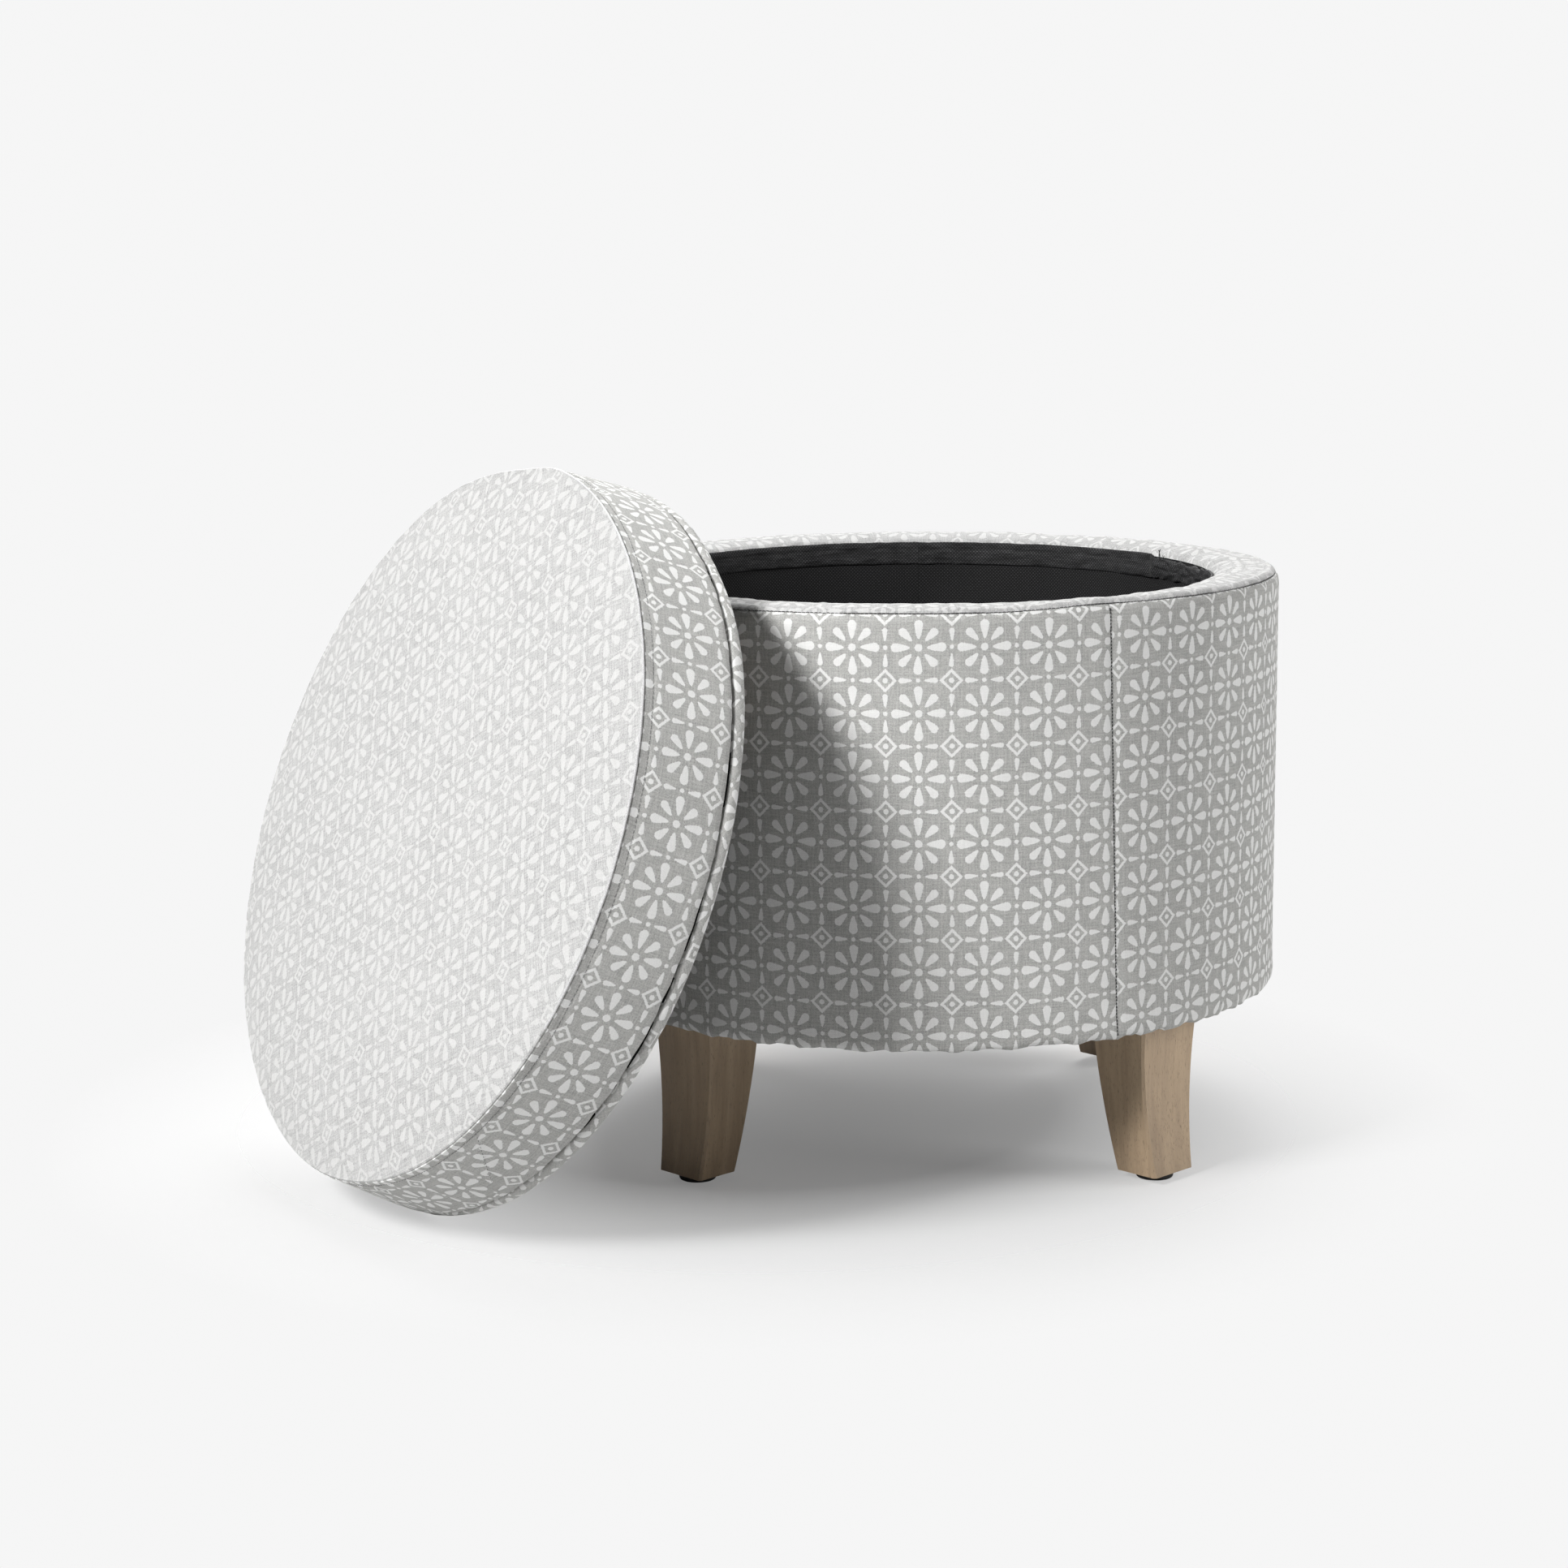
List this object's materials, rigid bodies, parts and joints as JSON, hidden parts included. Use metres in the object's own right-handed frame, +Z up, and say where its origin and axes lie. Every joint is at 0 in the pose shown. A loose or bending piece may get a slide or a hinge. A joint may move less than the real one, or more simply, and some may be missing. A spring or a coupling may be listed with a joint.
{
  "type": "round storage ottoman",
  "caption": "Round padded storage ottoman on flared wooden legs, its loose upholstered lid leaning on the drum, with a lined storage well.",
  "frame": {"origin": "on the floor, at the middle of the footprint of the drum and the leaning lid together; the drum's own axis stands 106.1 mm to +X and 75.2 mm to +Y of it", "axes": "+Z up; -Y is the front, where the lid leans at the left; +X to the right"},
  "size_m": [0.6926, 0.6306, 0.4601],
  "materials": {
    "printed_cloth": "matte",
    "foam": "matte",
    "black_nonwoven": "matte",
    "black_binding": "satin",
    "plywood": "matte",
    "hardboard": "satin",
    "leg_wood": "satin",
    "black_plastic": "satin",
    "zinc_steel": "satin"
  },
  "bodies": {
    "drum": {"base_board": "plywood", "top_ring": "plywood", "outer_hoop": "hardboard", "inner_wall": "hardboard", "side_padding": "foam", "rim_padding": "foam", "side_cover": "printed_cloth", "rim_band": "printed_cloth", "lining_wall": "black_nonwoven", "lining_floor": "black_nonwoven", "binding_tape": "black_binding", "dust_cover": "black_nonwoven", "leg_bolts": "zinc_steel", "threaded_inserts": "zinc_steel", "leg_glides": "black_plastic", "post_1": "plywood", "post_2": "plywood", "post_3": "plywood", "post_4": "plywood", "post_5": "plywood", "post_6": "plywood", "post_7": "plywood", "post_8": "plywood", "leg_front_right": "leg_wood", "leg_back_right": "leg_wood", "leg_back_left": "leg_wood", "leg_front_left": "leg_wood"},
    "lid": {"lid_board": "plywood", "lid_foam": "foam", "lid_top_cover": "printed_cloth", "lid_side_band": "printed_cloth", "lid_welt": "printed_cloth", "lid_lining": "black_nonwoven", "locating_block_1": "leg_wood", "locating_block_2": "leg_wood", "locating_block_3": "leg_wood", "locating_block_4": "leg_wood"}
  },
  "joints": [
    {"name": "lid_lift", "type": "slide", "parent": "drum", "child": "lid", "axis": [0, 0, 1], "range_m": [0, 0.42]}
  ]
}
